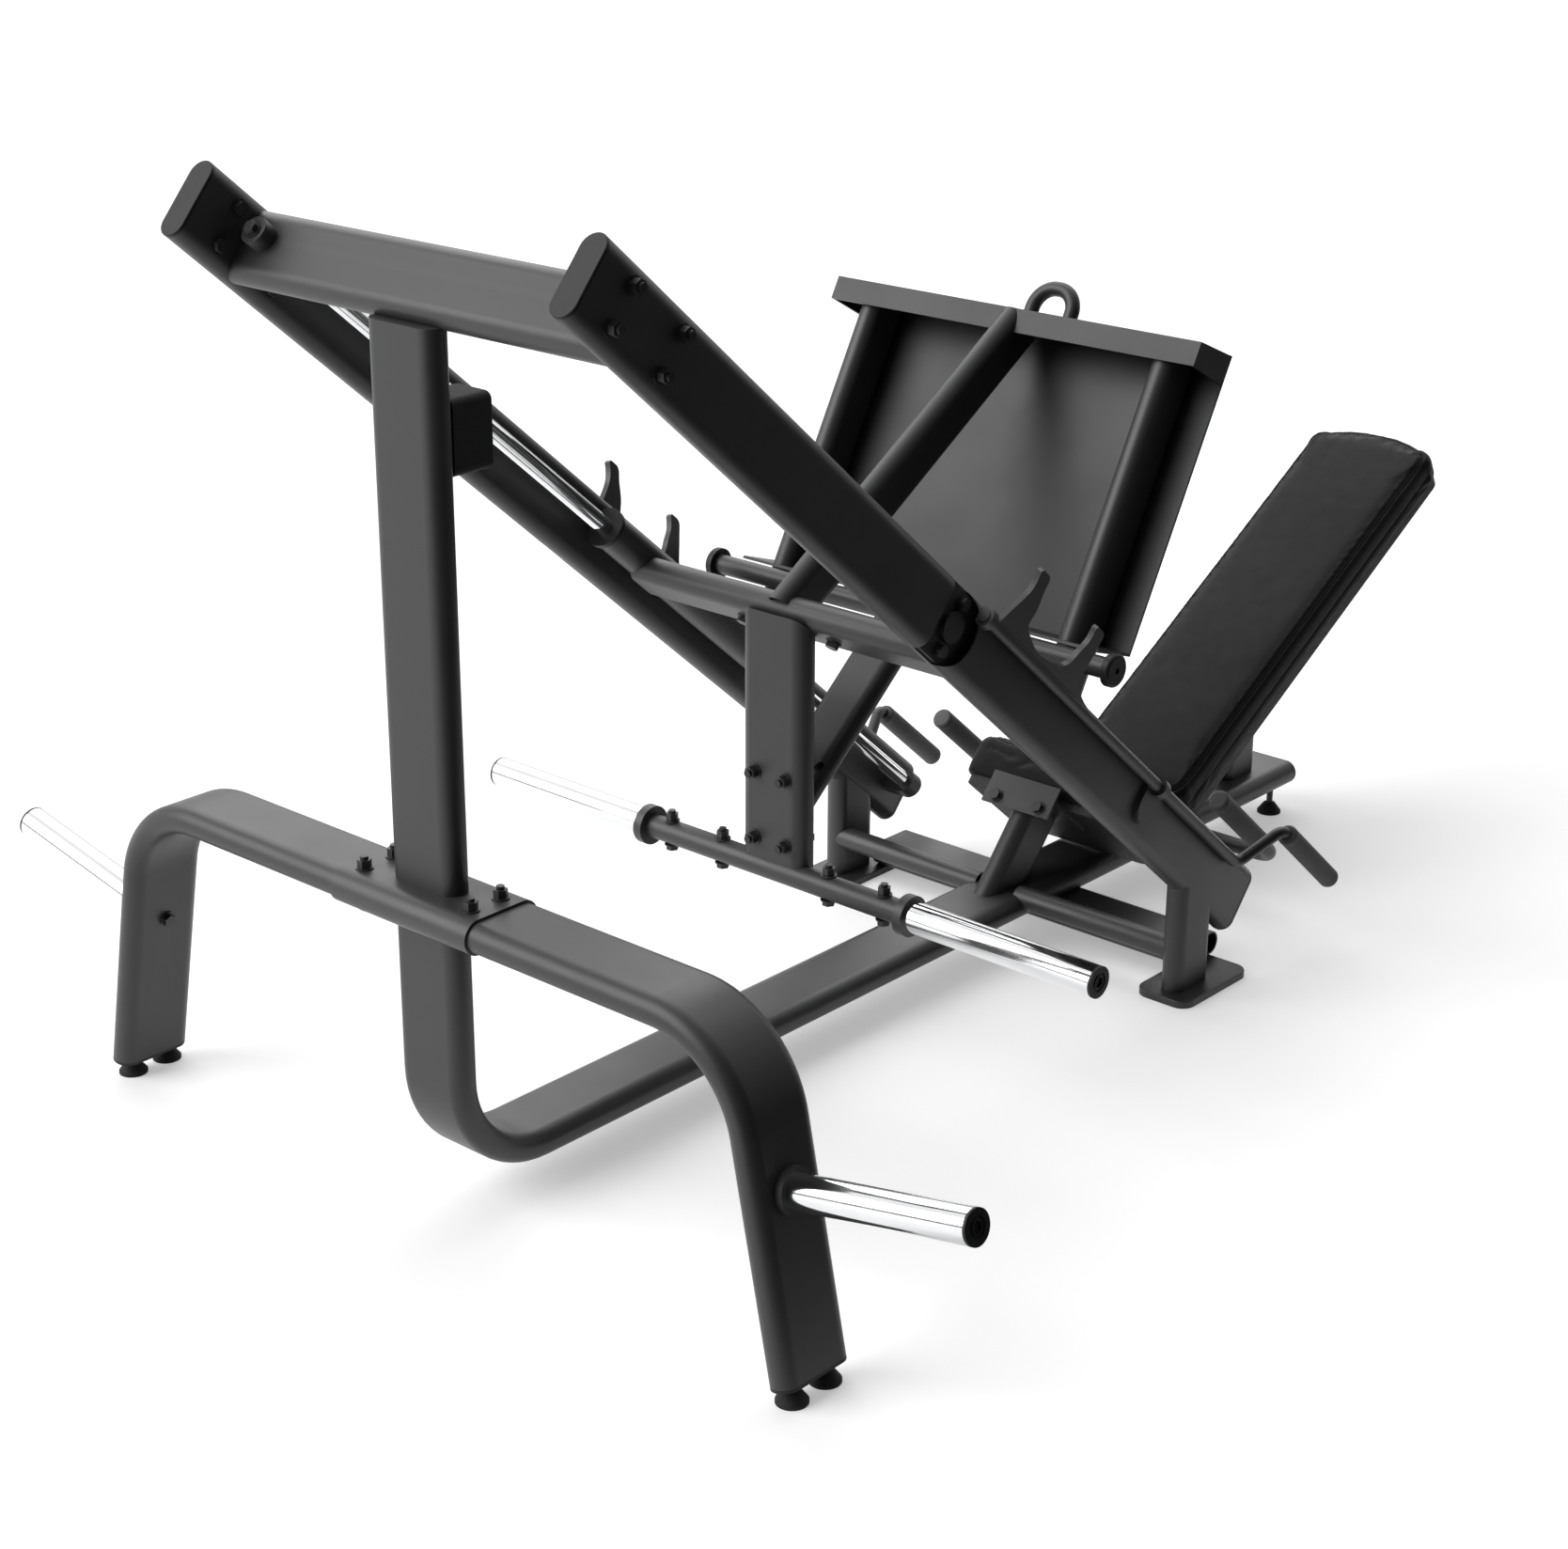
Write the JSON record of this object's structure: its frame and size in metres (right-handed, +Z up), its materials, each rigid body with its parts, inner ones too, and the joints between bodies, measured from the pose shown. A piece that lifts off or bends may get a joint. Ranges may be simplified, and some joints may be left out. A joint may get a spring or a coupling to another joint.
{
  "type": "angled leg press machine",
  "caption": "Angled leg press: a footplate carriage on inclined guide rods, lock levers, a reclined seat and back pad, a cross arch with weight storage posts.",
  "frame": {"origin": "middle of the whole footprint, on the floor", "axes": "+Y along the machine from the cross arch to the backrest, +X to the right-hand side seen from the arch looking along +Y, +Z up"},
  "size_m": [1.9542, 2.6496, 1.4844],
  "materials": {
    "frame_paint": "matt black powder coat",
    "chrome": "polished",
    "rubber": "matt",
    "black_plastic": "matt moulded",
    "bearing_plastic": "matt moulded",
    "vinyl": "dark grey padded vinyl",
    "board": "black painted plywood",
    "dark_steel": "black oxide"
  },
  "bodies": {
    "frame": {"spine": "frame_paint", "beam_caps": "black_plastic", "arch_leg_right": "frame_paint", "arch_leg_left": "frame_paint", "arch_sleeve": "frame_paint", "foot_pads": "rubber", "foot_studs": "dark_steel", "storage_collars": "frame_paint", "storage_sleeves": "chrome", "storage_caps": "black_plastic", "top_beam": "frame_paint", "rear_stop_plate": "frame_paint", "rear_stop": "rubber", "rail_right": "frame_paint", "rail_left": "frame_paint", "rail_end_caps": "black_plastic", "rail_joint_blocks": "frame_paint", "guide_rods": "chrome", "rod_end_bosses": "frame_paint", "rod_feet": "frame_paint", "rail_legs": "frame_paint", "floor_plates": "frame_paint", "cross_tubes": "frame_paint", "cross_flat": "frame_paint", "lever_lugs": "frame_paint", "frame_bolts": "dark_steel", "frame_nuts": "dark_steel", "seat_post": "frame_paint", "seat_bracket": "frame_paint", "seat_board": "board", "seat_pad": "vinyl", "back_post": "frame_paint", "back_bracket": "frame_paint", "back_board": "board", "back_pad": "vinyl", "handle_tube": "frame_paint", "handle_grips": "rubber"},
    "carriage": {"bearing_housings": "frame_paint", "bearing_rings": "bearing_plastic", "crossbar": "frame_paint", "carriage_post": "frame_paint", "carriage_brace": "frame_paint", "weight_bar": "frame_paint", "weight_collars": "frame_paint", "weight_sleeves": "chrome", "weight_caps": "black_plastic", "footplate": "frame_paint", "footplate_uprights": "frame_paint", "footplate_ridge": "frame_paint", "footplate_handle": "frame_paint", "stop_bar": "frame_paint", "stop_discs": "black_plastic", "carriage_bolts": "dark_steel", "carriage_nuts": "dark_steel"},
    "lever_right": {"lock_lever_right": "frame_paint", "lock_hook_right": "frame_paint", "lever_grip_right": "rubber"},
    "lever_left": {"lock_lever_left": "frame_paint", "lock_hook_left": "frame_paint", "lever_grip_left": "rubber"}
  },
  "joints": [
    {"name": "carriage_slide", "type": "slide", "parent": "frame", "child": "carriage", "axis": [0, -0.7604, 0.6494], "range_m": [0, 0.75]},
    {"name": "lever_turn_right", "type": "hinge", "parent": "frame", "child": "lever_right", "pos_m": [0.4085, -0.03484, 0.42177], "axis": [0, -0.7604, 0.6494], "range_deg": [0, 20]},
    {"name": "lever_turn_left", "type": "hinge", "parent": "frame", "child": "lever_left", "pos_m": [-0.4085, -0.03484, 0.42177], "axis": [0, 0.7604, -0.6494], "range_deg": [0, 20]}
  ]
}
